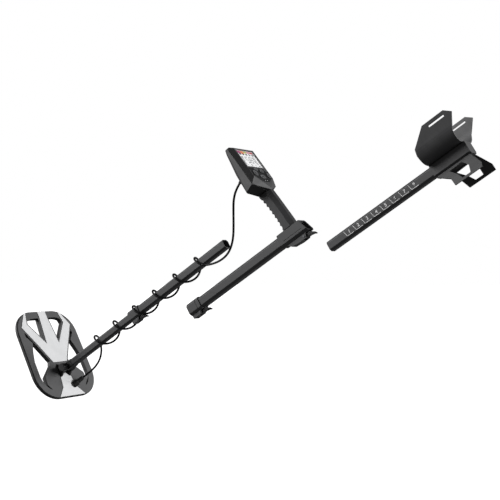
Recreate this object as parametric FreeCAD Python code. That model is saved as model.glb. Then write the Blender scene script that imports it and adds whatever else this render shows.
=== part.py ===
"""A metal detector taken down into its three sections, each piece a separate solid.

Everything is drawn in the stem frame, in millimetres: X runs along the stem towards the
elbow, Y to the user's right, Z square to the stem on the grip's side. The origin is the
centre of the hand grip. put() then turns the stem to its working slope, coil end down.
"""
import FreeCAD, Part
import math
import os

from FreeCAD import Vector as V

os.makedirs("parts", exist_ok=True)

# ---------------------------------------------------------------- driving dimensions
STEM_SLOPE = 32.0                   # the stem's slope above the level, coil end down
AXIS_DROP = 70.0                    # the stem axis below the middle of the hand grip
LOWER_SHIFT = V(0, 100, 124)        # the laid-out lower section from the handle section
REAR_SHIFT = V(0, 0, -76.5)         # the laid-out rear section from the handle section

HANDLE_AF = 27.0                    # across the flats of the three square tubes
STEM_AF = 24.0
ROD_AF = 21.0
TUBE_BEVEL = 0.19                   # the bevel on a tube's corners, as a share of its width
TUBE_WALL = 1.2
SLIP = 0.2                          # smallest gap each side of a sliding fit
SEAT = 0.05                         # gap each side of parts that are fixed together

HANDLE_TUBE = (-333.0, 36.0)        # X from and to
STEM_TUBE = (-600.0, -231.0)
ROD_TUBE = (-862.0, -505.0)
REAR_TUBE = (73.0, 456.0)

COLLAR_LENGTH = 40.0
PIVOT_X = -889.0                    # the coil's tilt pivot, on the lower section's axis
COIL_ANGLE = 92.0                   # from the stem's forward direction up to the coil's nose
PIVOT_HEIGHT = 23.0                 # the pivot above the coil's trim
COIL_FRONT, COIL_BACK = 191.0, -82.0
COIL_HALF_FRONT, COIL_HALF_BACK = 112.0, 115.0
COIL_THICK = 15.0
COIL_COVER = 5.0
TRIM_THICK = 1.6
RING_WIDTH = 22.0

CABLE_D = 5.5
TURN_PITCH = 83.0
TURN_BUNCHING = 0.7                 # how much of each turn's advance is made underneath
TURN_SIDE, TURN_TOP = 19.5, 22.8    # cable centre from the axis, at the sides and on top
FIRST_TURN_X = -334.0
TURN_STEPS = 12
STEM_TURNS = 3

HANDLE = V(0, 0, -AXIS_DROP)
LOWER = HANDLE + LOWER_SHIFT
REAR = HANDLE + REAR_SHIFT


# ---------------------------------------------------------------- helpers
def put(name, shape):
    """Turns a finished solid to the working slope and writes it out."""
    turned = shape.copy()
    turned.rotate(V(0, 0, 0), V(0, 1, 0), -STEM_SLOPE)
    if not turned.isValid():
        print("not valid:", name)
    turned.exportStep("parts/%s.step" % name)
    print("%-22s %2d solid(s) %10.1f mm3" % (name, len(turned.Solids), turned.Volume))


def at(shape, shift):
    moved = shape.copy()
    moved.translate(shift)
    return moved


def fuse(shapes):
    whole = shapes[0]
    for other in shapes[1:]:
        whole = whole.fuse(other)
    return whole.removeSplitter()


def cut(shape, *tools):
    for tool in tools:
        shape = shape.cut(tool)
    return shape


def box(x0, x1, y0, y1, z0, z1):
    return Part.makeBox(x1 - x0, y1 - y0, z1 - z0, V(x0, y0, z0))


def along_y(points, y0, y1):
    """A prism: an outline in X and Z, run across from y0 to y1."""
    wire = Part.makePolygon([V(x, y0, z) for x, z in points] + [V(points[0][0], y0, points[0][1])])
    return Part.Face(wire).extrude(V(0, y1 - y0, 0))


def along_x(points, x0, x1):
    wire = Part.makePolygon([V(x0, y, z) for y, z in points] + [V(x0, *points[0])])
    return Part.Face(wire).extrude(V(x1 - x0, 0, 0))


def bevelled_square(af):
    """A square af across, its corners bevelled."""
    half, side = af / 2, af / 2 - TUBE_BEVEL * af
    return [(half, -side), (half, side), (side, half), (-side, half),
            (-half, side), (-half, -side), (-side, -half), (side, -half)]


def square_bar(af, x0, x1, edge=0.0):
    """A bar of that section along X, its long edges rounded by edge."""
    bar = along_x(bevelled_square(af), x0, x1)
    if edge:
        long_edges = [e for e in bar.Edges if abs(e.tangentAt(0).x) > 0.99]
        bar = bar.makeFillet(edge, long_edges)
    return bar


def square_tube(af, bore_af, x0, x1, edge=1.6):
    return cut(square_bar(af, x0, x1, edge), square_bar(bore_af, x0 - 1, x1 + 1))


def pin_y(x, z, radius, y0, y1):
    return Part.makeCylinder(radius, y1 - y0, V(x, y0, z), V(0, 1, 0))


def route_corner(before, here, after):
    """The arc that rounds one corner of a route: its start, middle and end, and its radius."""
    back, on = before - here, after - here
    reach = 0.45 * min(back.Length, on.Length)
    back.normalize()
    on.normalize()
    half_turn = (math.pi - back.getAngle(on)) / 2
    radius = reach / math.tan(half_turn)
    inwards = back + on
    inwards.normalize()
    depth = radius / math.cos(half_turn) - radius
    return here + back * reach, here + inwards * depth, here + on * reach, radius


def cable_tube(route, first, last, diameter):
    """The cable along route between the middles of two of its runs, or from or to its end."""
    start = route[0] if first == 0 else (route[first - 1] + route[first]) / 2
    finish = route[-1] if last == len(route) - 1 else (route[last] + route[last + 1]) / 2
    edges, radii, here = [], [], start
    for i in range(max(first, 1), min(last, len(route) - 2) + 1):
        a, middle, b, radius = route_corner(route[i - 1], route[i], route[i + 1])
        edges.append(Part.LineSegment(here, a).toShape())
        edges.append(Part.Arc(a, middle, b).toShape())
        radii.append(radius)
        here = b
    edges.append(Part.LineSegment(here, finish).toShape())
    path = Part.Wire(edges)
    along = route[max(first, 1)] - start
    section = Part.Wire([Part.makeCircle(diameter / 2, start, along)])
    tube = path.makePipeShell([section], True, False)
    share = tube.Volume / (math.pi * diameter ** 2 / 4 * path.Length)
    print("   cable length %.1f, radii %.0f to %.0f, volume over section times length %.4f"
          % (path.Length, min(radii), max(radii), share))
    return tube


# ---------------------------------------------------------------- cam levers
LEVER_BARREL = 5.2
LEVER_PIN_R = 2.0
LEVER_ARM = [(0, 2.2), (8, 3.4), (17, 2.6), (23, -1.0), (27, -6.4), (25.6, -8.4),
             (20, -5.6), (12, -4.2), (0, -LEVER_BARREL)]
LEVER_TIP_HALF = 7.8


def cam_lever(x, z):
    """A short lever with a forked finger tip, turning on a cross pin at x, z."""
    arm = along_y([(x + dx, z + dz) for dx, dz in LEVER_ARM], -6.4, 6.4)
    tip = along_y([(x + dx, z + dz) for dx, dz in LEVER_ARM if dx > 10],
                  -LEVER_TIP_HALF, LEVER_TIP_HALF)
    barrel = pin_y(x, z, LEVER_BARREL, -6.4, 6.4)
    notch = box(x + 19, x + 40, -2.6, 2.6, z - 20, z + 10)
    notch_end = Part.makeCylinder(2.6, 30, V(x + 19, 0, z - 20), V(0, 0, 1))
    bore = pin_y(x, z, LEVER_PIN_R + SEAT, -10, 10)
    return cut(fuse([arm, tip, barrel]), notch, notch_end, bore)


def cam_pin(x, z):
    head = pin_y(x, z, 2.9, -10.6, -9.7)
    return fuse([pin_y(x, z, LEVER_PIN_R, -9.7, 9.7), head])


def cam_housing(outline, x, z, roof):
    """The two cheeks that carry a cam lever, with the slot between them open below roof."""
    cheeks = along_y(outline, -9.6, 9.6)
    slot = box(x - 9, x + 60, -6.8, 6.8, z - 30, roof)
    hole = pin_y(x, z, LEVER_PIN_R + SEAT, -12, 12)
    return cheeks, [slot, hole]


def lock_collar(af, tube_af, inner_af, x0, x):
    """A clamping collar on a tube's end: x0 is its front face, x its lever's pivot."""
    z = -af / 2 - 3.0
    body = square_bar(af, x0, x0 + COLLAR_LENGTH, 2.0)
    low = z - 5.4
    cheeks, cuts = cam_housing([(x0 + 1, -af / 2 + 3), (x0 + 2, low), (x + 2, low), (x + 6, z),
                                (x + 6, -af / 2 + 3)], x, z, -tube_af / 2 - 0.15)
    lip = 5.0 if tube_af < HANDLE_AF else 12.0
    bores = [square_bar(inner_af, x0 - 1, x0 + lip + 1),
             square_bar(tube_af + 2 * SEAT, x0 + lip, x0 + 60)]
    rear_groove = cut(square_bar(af + 4, x0 + 29, x0 + 30.4), square_bar(af - 1.2, x0, x0 + 50))
    return cut(fuse([body, cheeks]), *cuts, *bores, rear_groove), z


# ---------------------------------------------------------------- handle section: stem
FRONT_LEVER_X = -319.0
REAR_LEVER = (30.0, -21.5)
BLOCK_SIDE = [(-30, -16), (-30, 17), (38, 17), (50, -16)]
BLOCK_HALF = 16.0
GROOVE_Z = -4.4


def socket_block():
    """The moulding that joins tube, grip and the rear section's socket, its mouth cut back."""
    half = BLOCK_HALF
    section = [(-half, -10), (-10, -16), (10, -16), (half, -10), (half, 14.5),
               (half - 2.5, 17), (2.5 - half, 17), (-half, 14.5)]
    body = along_x(section, -40, 60).common(along_y(BLOCK_SIDE, -30, 30))
    x, z = REAR_LEVER
    cheeks, cuts = cam_housing([(-21, -14), (-9, -25.5), (14, -28), (33, -27.5), (37, z),
                                (37, -14)], x, z, -HANDLE_AF / 2 - 0.15)
    solid = fuse([body, cheeks])
    grooves = [box(-19, 37, side * half - 0.6, side * half + 0.6, GROOVE_Z - 0.6, GROOVE_Z + 0.6)
               for side in (-1, 1)]
    bore = square_bar(HANDLE_AF + 2 * SEAT, -60, 60)
    return cut(solid, bore, *cuts, *grooves)


GUIDE_LENGTH = 14.0


def guide_plug(bore_af, x0):
    """A ring that slides in the handle tube ahead of the section pushed into it."""
    ring = square_bar(bore_af - 2 * SLIP, x0, x0 + GUIDE_LENGTH)
    return ring.cut(Part.makeCylinder(8.5, GUIDE_LENGTH + 2, V(x0 - 1, 0, 0), V(1, 0, 0)))


# ---------------------------------------------------------------- hand grip
GRIP_LEVELS = [(17.05, -10.5, 27.2), (47, -12.4, 22.8), (75, -16.4, 18.6), (99, -20.9, 15.0),
               (120, -26.6, 11.6)]     # height above the stem axis, front X, back X
GRIP_HALF = 15.5
GRIP_WALL = 3.2
GRIP_FRONT_WALL = 7.2
RIPPLE_R, RIPPLE_DEPTH, RIPPLE_PITCH = 6.2, 5.2, 11.5


def grip_section(z, front, back, inset):
    """One level of the grip: flat sides, a bevel behind them and a shallow ridge at the back."""
    depth = back - front
    half = GRIP_HALF - inset
    right = [(inset, 7 - inset * 0.4), (2.5 + inset * 0.5, 14 - inset), (8, half),
             (depth * 0.66, half), (depth * 0.93 - inset, 7 - inset * 0.4), (depth - inset, 0)]
    left = [(x, -y) for x, y in reversed(right[:-1])]
    points = [V(front + x, y, z) for x, y in right + left]
    return Part.makePolygon(points + [points[0]])


def grip_solid(inset):
    ends = inset * 1.5
    levels = [list(level) for level in GRIP_LEVELS]
    levels[0][0] += ends
    levels[-1][0] -= ends
    return Part.makeLoft([grip_section(z, a, b, inset) for z, a, b in levels], True, True)


def grip_shells():
    body = grip_solid(0.0)
    count = 8
    for i in range(count):
        z = 26 + i * RIPPLE_PITCH
        low, high = [pair for pair in zip(GRIP_LEVELS, GRIP_LEVELS[1:]) if z < pair[1][0]][0]
        share = (z - low[0]) / (high[0] - low[0])
        front = low[1] + share * (high[1] - low[1])
        body = body.cut(pin_y(front - RIPPLE_R + RIPPLE_DEPTH, z, RIPPLE_R, -30, 30))
    hollow = grip_solid(GRIP_WALL)
    set_back = hollow.copy()
    set_back.translate(V(GRIP_FRONT_WALL - GRIP_WALL, 0, 0))
    body = body.cut(hollow.common(set_back))
    bosses = [pin_y(x, z, 4.2, -GRIP_HALF + 1, GRIP_HALF - 1) for x, z in GRIP_SCREWS]
    body = fuse([body] + [boss.common(grip_solid(0.0)) for boss in bosses])
    for x, z in GRIP_SCREWS:
        body = cut(body, pin_y(x, z, 1.6, -9, 30), pin_y(x, z, 3.1, 12.5, 30))
    seam = 0.12
    left = body.common(box(-60, 60, -30, -seam, 0, 140))
    right = body.common(box(-60, 60, seam, 30, 0, 140))
    return left, right


GRIP_SCREWS = [(8.0, 29.0), (4.5, 64.0), (0.5, 108.0)]
CELL_LENGTH = 28.0


def machine_screw(x, z, y_head, length, radius=1.5, head=2.9, head_height=1.8):
    """A screw along Y with a recessed cross head on its +Y end."""
    shank = pin_y(x, z, radius, y_head - length, y_head - head_height)
    cap = pin_y(x, z, head, y_head - head_height, y_head)
    slots = [box(x - a, x + a, y_head - 0.9, y_head + 1, z - b, z + b)
             for a, b in ((2.0, 0.4), (0.4, 2.0))]
    return cut(fuse([shank, cap]), *slots)


# ---------------------------------------------------------------- control box
FACE_TOP, FACE_FOOT = V(-9.5, 0, 249), V(8.7, 0, 132)       # the sloping face towards the user
BOX_HALF = 50.0
BOX_WALL = 2.6
FACE_DOWN = (FACE_FOOT - FACE_TOP).normalize()
FACE_OUT = V(-FACE_DOWN.z, 0, FACE_DOWN.x)
SCREEN_TOP, SCREEN_FOOT = 3.0, 60.0                          # along the face, from its top edge
SCREEN_HALF_TOP, SCREEN_HALF_FOOT = 37.2, 36.6
PAD_TOP, PAD_SHOULDER, PAD_FOOT, PAD_HALF = 62.5, 88.0, 106.0, 37.0
FACE_PLATE = 10.0                                            # depth of the face moulding


def face_point(down, right, out=0.0):
    """A point on the control box's face: down from its top edge, right of its middle."""
    return FACE_TOP + FACE_DOWN * down + V(0, right, 0) + FACE_OUT * out


def half_space(point, outward, offset):
    """Everything beyond a plane that is moved inwards by offset."""
    normal = V(*outward)
    normal.normalize()
    size = 800.0
    slab = Part.makeBox(size, size, size, V(-size / 2, -size / 2, 0))
    slab.Placement = FreeCAD.Placement(V(*point) - normal * offset, FreeCAD.Rotation(V(0, 0, 1), normal))
    return slab


def box_planes():
    """The facets of the control box, each a point and an outward direction."""
    planes = [
        (tuple(FACE_TOP), tuple(FACE_OUT)),                  # face
        ((-19, 0, 256), (0.59, 0, 0.81)),                    # brow above the screen
        ((-28, 0, 255.5), (-0.05, 0, 1)),                    # top
        ((-28, 0, 255.5), (-0.87, 0, 0.5)),                  # front of the top
        ((-34.5, 0, 244), (-0.991, 0, 0.10)),                # upper front
        ((-40, 0, 192), (-0.988, 0, -0.153)),                # lower front
        ((-30, 0, 134), (-0.87, 0, -0.5)),                   # front foot
        ((0, 0, 120.1), (0, 0, -1)),                         # where the grip joins
    ]
    for side in (-1, 1):
        planes += [
            ((0, side * BOX_HALF, 0), (0, side, 0)),                          # side
            ((-9.5, side * 40, 249), (0.70, side * 0.70, 0.10)),              # bevel beside the face
            ((-19, side * 43, 256), (0, side * 0.66, 0.75)),                  # top corner
            ((-34.5, side * 40, 244), (-0.75, side * 0.66, 0)),               # front corner
            ((-29.3, side * 50, 133.8), (0.283, side * 0.425, -0.860)),       # hopper to the grip
            ((-4.4, side * 50, 142), (0.906, side * 0.339, -0.251)),          # facet under the keypad
        ]
    return planes


def box_solid(offset):
    solid = box(-60, 30, -60, 60, 100, 270)
    for point, outward in box_planes():
        solid = solid.cut(half_space(point, outward, offset))
    return solid


def face_prism(outline, out0, out1, rounded=0.0):
    """A prism square to the face: outline in (down, right), from out0 to out1."""
    points = [face_point(down, right, out0) for down, right in outline]
    solid = Part.Face(Part.makePolygon(points + [points[0]])).extrude(FACE_OUT * (out1 - out0))
    if rounded:
        upright = [e for e in solid.Edges
                   if e.Length > 0.01 and abs(e.tangentAt(0).dot(FACE_OUT)) > 0.99]
        solid = solid.makeFillet(rounded, upright)
    return solid


def screen_outline(grow):
    return [(SCREEN_TOP - grow, -SCREEN_HALF_TOP - grow), (SCREEN_TOP - grow, SCREEN_HALF_TOP + grow),
            (SCREEN_FOOT + grow, SCREEN_HALF_FOOT + grow), (SCREEN_FOOT + grow, -SCREEN_HALF_FOOT - grow)]


def pad_outline(grow):
    top, foot, half = PAD_TOP - grow, PAD_FOOT + grow, PAD_HALF + grow
    shoulder = PAD_SHOULDER + grow
    return [(top, -half), (top, half), (shoulder, half), (foot, half * 0.35),
            (foot, -half * 0.35), (shoulder, -half)]


# name, down the face, right of the middle, half height, half width
BUTTONS = [
    ("menu_button", 80.5, -25.0, 8.6, 7.6),
    ("light_button", 67.9, -11.5, 3.9, 8.6),
    ("up_button", 71.5, 8.5, 5.0, 8.6),
    ("down_button", 91.0, -3.5, 5.8, 10.5),
    ("pinpoint_button", 84.5, 26.0, 7.6, 6.8),
    ("power_button", 69.3, 26.0, 4.0, 5.6),
]
BUTTON_GAP = 0.35
STATUS_LIGHTS = [(101.5, -3.0), (101.5, 5.0)]
LIGHT_R = 1.1


def button_outline(down, right, high, wide, grow=0.0):
    a, b = high + grow, wide + grow
    nip = 0.45
    return [(down - a, right - b * nip), (down - a, right + b * nip), (down - a * nip, right + b),
            (down + a * nip, right + b), (down + a, right + b * nip), (down + a, right - b * nip),
            (down + a * nip, right - b), (down - a * nip, right - b)]


def control_box():
    outer, inner = box_solid(0.0), box_solid(BOX_WALL)
    shell = outer.cut(inner)
    front_part = half_space(tuple(face_point(0, 0)), tuple(FACE_OUT), FACE_PLATE)
    back_gap = half_space(tuple(face_point(0, 0)), tuple(FACE_OUT), FACE_PLATE + 0.25)
    rear = shell.cut(back_gap)
    bosses = fuse([face_rod(down, right, 4.4, -60, 0) for down, right in BOX_SCREWS]).common(outer)
    rear = fuse([rear, bosses.cut(back_gap)])
    for down, right in BOX_SCREWS:
        rear = cut(rear, face_rod(down, right, 1.7, -70, 0), face_rod(down, right, WELL_R, -70, SCREW_SEAT))
    rear = rear.cut(Part.makeCylinder(GLAND_R + SEAT, 20, GLAND_BASE - GLAND_AXIS * 10, GLAND_AXIS))
    face = fuse([shell.common(front_part), bosses.common(front_part)])
    face = cut(face, *[face_rod(down, right, 1.5, -20, SCREW_TIP + 0.5) for down, right in BOX_SCREWS])
    face = face.cut(face_prism(screen_outline(0.1), -4, 4))
    face = face.cut(face_prism(pad_outline(0.1), -4, 4))
    return rear, face


BOX_SCREWS = [(14, -41), (14, 41), (88, -40), (88, 40)]
SCREW_SEAT, SCREW_TIP = -18.0, -7.0                          # heads and tips, behind the face
WELL_R, WELL_CLEAR = 3.2, 2.4                                # the wells that the screws go in by


def face_rod(down, right, radius, out0, out1):
    return Part.makeCylinder(radius, out1 - out0, face_point(down, right, out0), FACE_OUT)


def box_screws():
    screws = []
    for down, right in BOX_SCREWS:
        head = face_rod(down, right, 2.9, SCREW_SEAT - 1.8, SCREW_SEAT)
        shank = face_rod(down, right, 1.45, SCREW_SEAT, SCREW_TIP)
        slots = [face_prism([(down - a, right - b), (down - a, right + b), (down + a, right + b),
                             (down + a, right - b)], SCREW_SEAT - 2.5, SCREW_SEAT - 0.9)
                 for a, b in ((2.0, 0.4), (0.4, 2.0))]
        screws.append(cut(fuse([head, shank]), *slots))
    return Part.makeCompound(screws)


def screw_plugs():
    """Soft plugs that seal the screw wells, flush with the back of the box."""
    outer = box_solid(0.0)
    return Part.makeCompound([face_rod(down, right, WELL_R - SEAT, -70, SCREW_SEAT - WELL_CLEAR).common(outer)
                              for down, right in BOX_SCREWS])


def keypad():
    """The dark keypad panel with a hole round each button and each light."""
    panel = face_prism(pad_outline(-0.1), -2.2, 0.5, 3.0)
    for name, down, right, high, wide in BUTTONS:
        panel = panel.cut(face_prism(button_outline(down, right, high, wide, BUTTON_GAP), -5, 5))
    for down, right in STATUS_LIGHTS:
        panel = panel.cut(face_rod(down, right, LIGHT_R + SEAT, -5, 5))
    return panel


def push_button(down, right, high, wide):
    cap = face_prism(button_outline(down, right, high, wide), -3.4, 1.9, 0.8)
    flange = face_prism(button_outline(down, right, high, wide, 0.9), -3.6, -2.6)
    dish = Part.makeSphere(26.0, face_point(down, right, 1.9 + 25.4))
    return fuse([cap, flange]).cut(dish)


# ---------------------------------------------------------------- cable
GLAND_R = 5.0
GLAND_BASE = V(-41.4, -6, 189)
GLAND_AXIS = V(-0.93, 0, -0.37).normalize()
GLAND_LENGTH = 17.0


def turn_point(angle, pitch_start):
    """A point of a loose turn round the lower section. Angle 0 is on top, a quarter turn later
    it is at the left side, and most of the advance along X is made underneath."""
    advance = TURN_PITCH * (angle - TURN_BUNCHING * math.sin(angle)) / (2 * math.pi)
    return LOWER + V(pitch_start + advance, -TURN_SIDE * math.sin(angle), TURN_TOP * math.cos(angle))


def cable_route():
    """The whole cable, from the gland under the control box to the coil's strain relief."""
    gland_end = GLAND_BASE + GLAND_AXIS * GLAND_LENGTH
    route = [V(gland_end)]
    route += [V(x, y, z) for x, y, z in HANGING_SPAN]
    route = [route[0] + HANDLE] + [p + HANDLE for p in route[1:]]
    step = 2 * math.pi / TURN_STEPS
    last = 5 * TURN_STEPS + 8
    route += [turn_point(math.pi * 0.75 - i * step, FIRST_TURN_X) for i in range(last)]
    route += [LOWER + V(x, y, z) for x, y, z in COIL_BOW]
    return route


HANGING_SPAN = [(-74, -6, 176), (-97, 2, 163.5), (-119, 14, 145), (-144, 29, 124), (-171, 46, 105),
                (-200, 62, 93), (-230, 75, 88.5), (-259, 83, 91), (-286, 86.5, 98)]
COIL_BOW = [(-765, 20, -5.5), (-777, 28, -13), (-797, 38, -21.5), (-820, 46, -28),
            (-845, 52, -31), (-867, 54.5, -32.5), (-885.2, 52, -33.4), (-894, 42, -37.6)]


# ---------------------------------------------------------------- coil
FORWARD = V(-math.cos(math.radians(COIL_ANGLE)), 0, math.sin(math.radians(COIL_ANGLE)))
TOP_SIDE = V(math.sin(math.radians(COIL_ANGLE)), 0, math.cos(math.radians(COIL_ANGLE)))


def on_coil(shape):
    """Takes a shape drawn flat (X to the nose, Y to the left, Z out of the trim) to the coil."""
    moved = shape.copy()
    spin = FreeCAD.Rotation(FORWARD, V(0, -1, 0), TOP_SIDE, "XYZ")
    centre = LOWER + V(PIVOT_X, 0, 0) - TOP_SIDE * PIVOT_HEIGHT
    moved.Placement = FreeCAD.Placement(centre, spin)
    return moved


def rounded_wire(corners, z=0.0):
    """A closed outline through corners (x, y, radius), each rounded by its own radius."""
    count = len(corners)
    points = [V(x, y, z) for x, y, radius in corners]
    edges, ends = [], []
    for i, (x, y, radius) in enumerate(corners):
        back, on = points[i - 1] - points[i], points[(i + 1) % count] - points[i]
        back.normalize()
        on.normalize()
        half_turn = (math.pi - back.getAngle(on)) / 2
        reach = radius * math.tan(half_turn)
        middle = back + on
        middle.normalize()
        depth = radius / math.cos(half_turn) - radius
        ends.append((points[i] + back * reach, points[i] + middle * depth, points[i] + on * reach))
    for i, (a, middle, b) in enumerate(ends):
        edges.append(Part.Arc(a, middle, b).toShape())
        edges.append(Part.LineSegment(b, ends[(i + 1) % count][0]).toShape())
    return Part.Wire(edges)


COIL_CORNERS = [(COIL_FRONT, -COIL_HALF_FRONT, 72), (COIL_FRONT, COIL_HALF_FRONT, 72),
                (COIL_BACK, COIL_HALF_BACK, 72), (COIL_BACK, -COIL_HALF_BACK, 72)]
TRIDENT_RIGHT = [(196, 14.5), (167, 15), (86, 23.5), (151, 71), (196, 60), (196, 62),
                 (142, 94), (85, 59), (27, 26)]
HUB_PLATE = [(34, 34), (20, 40), (-13, 75), (-39, 76), (-52, 66), (-90, 66)]
RING_SHOULDER = [(150, 120), (93, 74), (62, 85), (30, 93), (20, 120)]
TAIL_RIGHT = [(-9, 5), (-22, 20), (-52, 25), (-79.5, 49)]
SPOKE_MARGIN = 4.5


def mirrored(right):
    return right + [(x, -y) for x, y in reversed(right)]


def coil_slab(inset, z0, z1):
    wire = rounded_wire(COIL_CORNERS, z0)
    if inset:
        wire = wire.makeOffset2D(-inset)
    return Part.Face(wire).extrude(V(0, 0, z1 - z0))


def flat_polygon(points, z0, z1, grow=0.0):
    wire = Part.makePolygon([V(x, y, z0) for x, y in points] + [V(points[0][0], points[0][1], z0)])
    if grow:
        wire = wire.makeOffset2D(grow, 2)
    return Part.Face(wire).extrude(V(0, 0, z1 - z0))


def coil_windows():
    """The open windows: inside the ring, outside the spokes and the hub plate."""
    deep = COIL_THICK + 10
    inside = coil_slab(RING_WIDTH, -deep, 10)
    spokes = flat_polygon(mirrored(TRIDENT_RIGHT), -deep, 10, SPOKE_MARGIN)
    hub = flat_polygon(mirrored(HUB_PLATE), -deep, 10)
    shoulders = [flat_polygon([(x, side * y) for x, y in RING_SHOULDER], -deep, 10) for side in (-1, 1)]
    return [solid for solid in cut(inside, spokes, hub, *shoulders).Solids if solid.Volume > 4000]


def winding_loop(side, z0, z1):
    """One D of the double-D pair: round its own side of the ring and back down the spine."""
    front, back = COIL_FRONT - 9, COIL_BACK + 9
    wide_front, wide_back = COIL_HALF_FRONT - 11, COIL_HALF_BACK - 11
    spine = -5.0 * side
    corners = [(front, side * wide_front, 61), (back, side * wide_back, 61),
               (back, spine, 9), (front, spine, 9)]
    wire = rounded_wire(corners, z0)
    if side < 0:
        wire = rounded_wire(list(reversed(corners)), z0)
    return Part.Face(wire).extrude(V(0, 0, z1 - z0)).cut(
        Part.Face(wire.makeOffset2D(-5.0)).extrude(V(0, 0, z1 - z0)))


EAR_INNER, EAR_OUTER, EAR_R = 12.1, 18.0, 11.0
PIVOT_BOLT_R = 4.0
RELIEF_IN, RELIEF_OUT = V(-46.7, -22, 2.0), V(-37.8, -42, 19.3)  # boot ends, on the coil
RELIEF_BIG, RELIEF_SMALL = 7.8, 6.0
RELIEF_SEAT = 9.8


def coil_ears():
    ears = []
    for side in (-1, 1):
        y0, y1 = sorted((side * EAR_INNER, side * EAR_OUTER))
        plate = Part.makeBox(2 * EAR_R, y1 - y0, PIVOT_HEIGHT + TRIM_THICK, V(-EAR_R, y0, -TRIM_THICK))
        foot = along_y([(-20, -TRIM_THICK), (20, -TRIM_THICK), (EAR_R, 12), (-EAR_R, 12)], y0, y1)
        eye = Part.makeCylinder(EAR_R, y1 - y0, V(0, y0, PIVOT_HEIGHT), V(0, 1, 0))
        ears.append(fuse([plate, foot, eye]))
    return ears


def coil_shells():
    windows = coil_windows()
    joint = -TRIM_THICK - COIL_COVER
    cover = coil_slab(0, joint, -TRIM_THICK)
    housing = coil_slab(0, -COIL_THICK, joint - 0.1)
    cover = cut(cover, *windows)
    housing = cut(housing, *windows)
    rim = [e for e in cover.Edges if e.BoundBox.ZMin > -TRIM_THICK - 0.01 and is_outer(e)]
    cover = cover.makeChamfer(2.2, rim)
    skid = [e for e in housing.Edges if e.BoundBox.ZMax < -COIL_THICK + 0.01 and is_outer(e)]
    housing = housing.makeFillet(5.5, skid)
    channel = cut(coil_slab(5.5, joint - 6.6, joint), coil_slab(20, joint - 7, joint + 1))
    spine = box(COIL_BACK + 5.5, COIL_FRONT - 5.5, -13.5, 13.5, joint - 6.6, joint)
    housing = housing.cut(channel).cut(spine)
    above = Part.makeBox(60, 60, 40, V(-80, -50, -TRIM_THICK - 1))
    boot_seat = boot_collar(RELIEF_SEAT).common(above)
    lead_in = Part.makeCylinder(RELIEF_BIG + SEAT, 60, RELIEF_IN, boot_axis())
    cover = fuse([cover] + coil_ears() + [boot_seat])
    bolt_hole = Part.makeCylinder(PIVOT_BOLT_R + SEAT, 60, V(0, -30, PIVOT_HEIGHT), V(0, 1, 0))
    cover = cover.cut(bolt_hole).cut(lead_in)
    return cover, housing


def is_outer(edge):
    """True for an edge on the coil's outer outline, false for one round a window."""
    middle = edge.valueAt((edge.FirstParameter + edge.LastParameter) / 2)
    return any(abs(middle.distanceToPoint(p)) < 0.5
               for outer in [coil_slab(0, middle.z - 1, middle.z)]
               for p in [nearest_on_outline(outer, middle)])


def nearest_on_outline(slab, point):
    walls = [f for f in slab.Faces if abs(f.normalAt(0, 0).z) < 0.5]
    best = min((f.distToShape(Part.Vertex(point)) for f in walls), key=lambda found: found[0])
    return best[1][0][0]


def boot_axis():
    return (RELIEF_OUT - RELIEF_IN).normalize()


def boot_collar(radius):
    return Part.makeCylinder(radius, 14, RELIEF_IN - boot_axis() * 6, boot_axis())


def strain_relief():
    """A ribbed, tapered boot that rises off the coil round the cable's end."""
    along = boot_axis()
    boot = Part.makeCone(RELIEF_BIG, RELIEF_SMALL, (RELIEF_OUT - RELIEF_IN).Length, RELIEF_IN, along)
    grooves = []
    for i in range(5):
        start = RELIEF_IN + along * (11 + i * 3.8)
        sleeve = Part.makeCylinder(3.5, 3, start - along, along)
        grooves.append(cut(Part.makeCylinder(9, 1.4, start, along), sleeve))
    return cut(boot, *grooves)


# ---------------------------------------------------------------- rear section
SADDLE_X = (368.0, 456.0)
CUP_OUTLINE = [(368, 13.2), (369, 34), (373, 47), (413, 78), (467, 78), (481, 66), (461, 35),
               (456, 13.2)]
CUP_WALL = 3.2
CUP_STEPS = 12
SLOT_X, SLOT_Z, SLOT_HALF = (424.0, 463.0), 68.5, 2.2
LEG_OUTLINE = [(370, -17.2), (399, -40), (404, -61), (470, -61), (471.5, -48), (457, -17.2)]
LEG_WINDOW = [(402, -23.5), (434.5, -22.5), (446, -39), (444, -55.5), (424, -55.5), (416.5, -41)]
LEG_WALL = 4.0


def cup_profile(inset):
    """Right half of the cradle's U, from the middle of its floor to the top of its wing."""
    foot, bend, wing = V(0, 20, 13.2), V(0, 49.5, 13.2), V(0, 54, 50)
    profile = [(0, 13.2 + inset)]
    for i in range(CUP_STEPS + 1):
        t = i / CUP_STEPS
        here = foot * (1 - t) ** 2 + bend * (2 * t * (1 - t)) + wing * t ** 2
        along = ((bend - foot) * (1 - t) + (wing - bend) * t).normalize()
        profile.append((here.y - along.z * inset, here.z + along.y * inset))
    return profile + [(60.5 - inset, 90)]


def armrest_cup():
    outer, inner = cup_profile(0), cup_profile(CUP_WALL)
    ring = outer + list(reversed(inner))
    half = along_x(ring, 360, 490)
    other = half.mirror(V(0, 0, 0), V(0, 1, 0))
    cup = fuse([half, other]).common(along_y(CUP_OUTLINE, -80, 80))
    slots = [box(SLOT_X[0], SLOT_X[1], y0, y0 + 30, SLOT_Z - SLOT_HALF, SLOT_Z + SLOT_HALF)
             for y0 in (-75, 45)]
    holes = [Part.makeCylinder(2.1, 12, V(x, 0, 10), V(0, 0, 1)) for x in ARMREST_SCREW_X]
    return cut(cup, *slots, *holes)


ARMREST_SCREW_X = [390.0, 436.0]


SADDLE_SECTION = [(-17, -12), (-12, -17), (12, -17), (17, -12), (17, 11), (15, 13), (-15, 13), (-17, 11)]


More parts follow.
